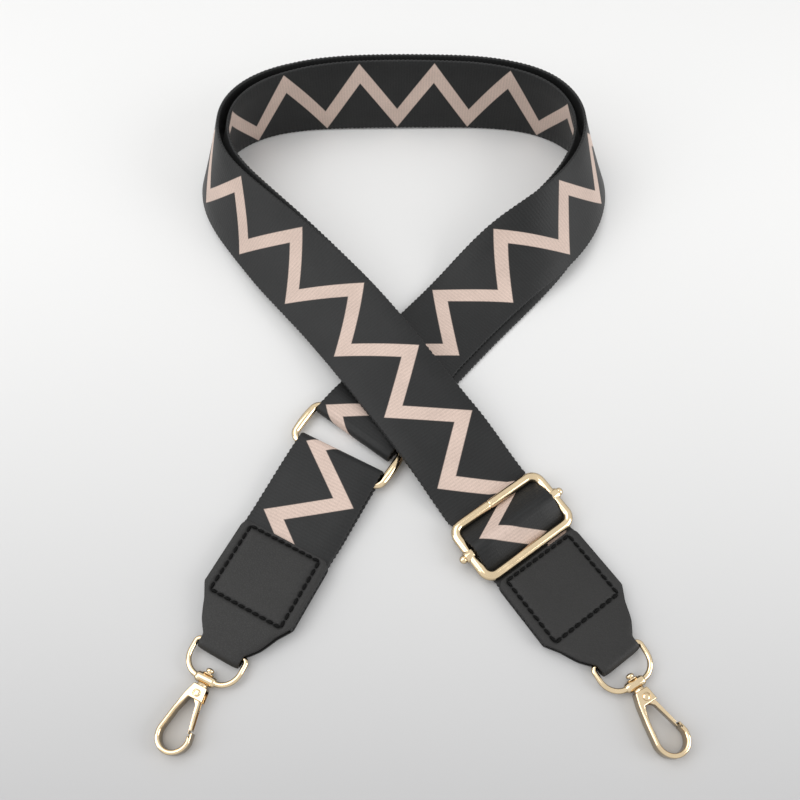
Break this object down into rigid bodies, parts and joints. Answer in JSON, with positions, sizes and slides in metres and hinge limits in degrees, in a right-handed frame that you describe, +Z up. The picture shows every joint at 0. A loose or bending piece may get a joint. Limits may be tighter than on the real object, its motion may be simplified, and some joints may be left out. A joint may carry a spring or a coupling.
{
  "type": "detachable bag strap",
  "caption": "Printed webbing bag strap with a slider, a ring, leather ends and swivel snap hooks, laid down in a loop with its legs crossed.",
  "frame": {"origin": "middle of the strap's bounding box, on the surface that it lies on", "axes": "+Z up from that surface, +Y from the hooks towards the back of the loop, +X to the slider's side"},
  "size_m": [0.1976, 0.3097, 0.0385],
  "materials": {
    "printed_webbing": "matte woven polyester with a printed zigzag",
    "black_leather": "satin, fine grain",
    "black_thread": "twisted thread",
    "pale_gold": "polished pale gold plating",
    "spring_steel": "polished pale gold plating"
  },
  "bodies": {
    "strap": {"main_webbing": "printed_webbing", "webbing_before_crossing": "printed_webbing", "return_before_crossing": "printed_webbing", "webbing_at_tab": "printed_webbing", "right_leather_tab": "black_leather", "right_needle_thread": "black_thread", "right_bobbin_thread": "black_thread"},
    "slider": {"slider_frame": "pale_gold", "slider_centre_bar": "pale_gold", "webbing_in_slider": "printed_webbing", "webbing_end_fold": "printed_webbing"},
    "ring": {"ring": "pale_gold"},
    "left_leg": {"short_webbing": "printed_webbing", "left_leather_tab": "black_leather", "left_needle_thread": "black_thread", "left_bobbin_thread": "black_thread"},
    "left_loop": {"left_wire_loop": "pale_gold"},
    "left_hook": {"left_hook_body": "pale_gold", "left_swivel_washer": "pale_gold", "left_swivel_cap": "pale_gold", "left_gate_rivet": "spring_steel", "left_gate_spring": "spring_steel"},
    "left_gate": {"left_gate": "pale_gold"},
    "right_loop": {"right_wire_loop": "pale_gold"},
    "right_hook": {"right_hook_body": "pale_gold", "right_swivel_washer": "pale_gold", "right_swivel_cap": "pale_gold", "right_gate_rivet": "spring_steel", "right_gate_spring": "spring_steel"},
    "right_gate": {"right_gate": "pale_gold"}
  },
  "joints": [
    {"name": "slider_travel", "type": "slide", "parent": "strap", "child": "slider", "axis": [-0.5807, 0.8141, 0], "range_m": [0, 0.02], "deforming": ["webbing_at_tab", "webbing_before_crossing", "return_before_crossing"]},
    {"name": "ring_pivot", "type": "hinge", "parent": "strap", "child": "ring", "pos_m": [-0.01815, -0.02966, 0.0031], "axis": [-0.8406, 0.5417, 0], "range_deg": [-20, 20]},
    {"name": "left_leg_pivot", "type": "hinge", "parent": "ring", "child": "left_leg", "pos_m": [-0.0279, -0.04479, 0.0031], "axis": [-0.8406, 0.5417, 0], "range_deg": [-25, 25]},
    {"name": "left_loop_swing", "type": "hinge", "parent": "left_leg", "child": "left_loop", "pos_m": [-0.06563, -0.11848, 0.0027], "axis": [0.9078, -0.4194, 0], "range_deg": [-60, 60]},
    {"name": "left_swivel", "type": "hinge", "parent": "left_loop", "child": "left_hook", "pos_m": [-0.07155, -0.13129, 0.0027], "axis": [-0.4194, -0.9078, 0], "continuous": true},
    {"name": "left_gate_hinge", "type": "hinge", "parent": "left_hook", "child": "left_gate", "pos_m": [-0.0725, -0.13393, 0.0027], "axis": [0, 0, 1], "range_deg": [-22, 0], "stiffness_Nm_per_rad": 0.0005, "deforming": ["left_gate_spring"]},
    {"name": "right_loop_swing", "type": "hinge", "parent": "strap", "child": "right_loop", "pos_m": [0.07575, -0.12049, 0.0027], "axis": [0.878, 0.4787, 0], "range_deg": [-60, 60]},
    {"name": "right_swivel", "type": "hinge", "parent": "right_loop", "child": "right_hook", "pos_m": [0.0825, -0.13287, 0.0027], "axis": [0.4787, -0.878, 0], "continuous": true},
    {"name": "right_gate_hinge", "type": "hinge", "parent": "right_hook", "child": "right_gate", "pos_m": [0.08406, -0.13521, 0.0027], "axis": [0, 0, 1], "range_deg": [-22, 0], "stiffness_Nm_per_rad": 0.0005, "deforming": ["right_gate_spring"]}
  ]
}
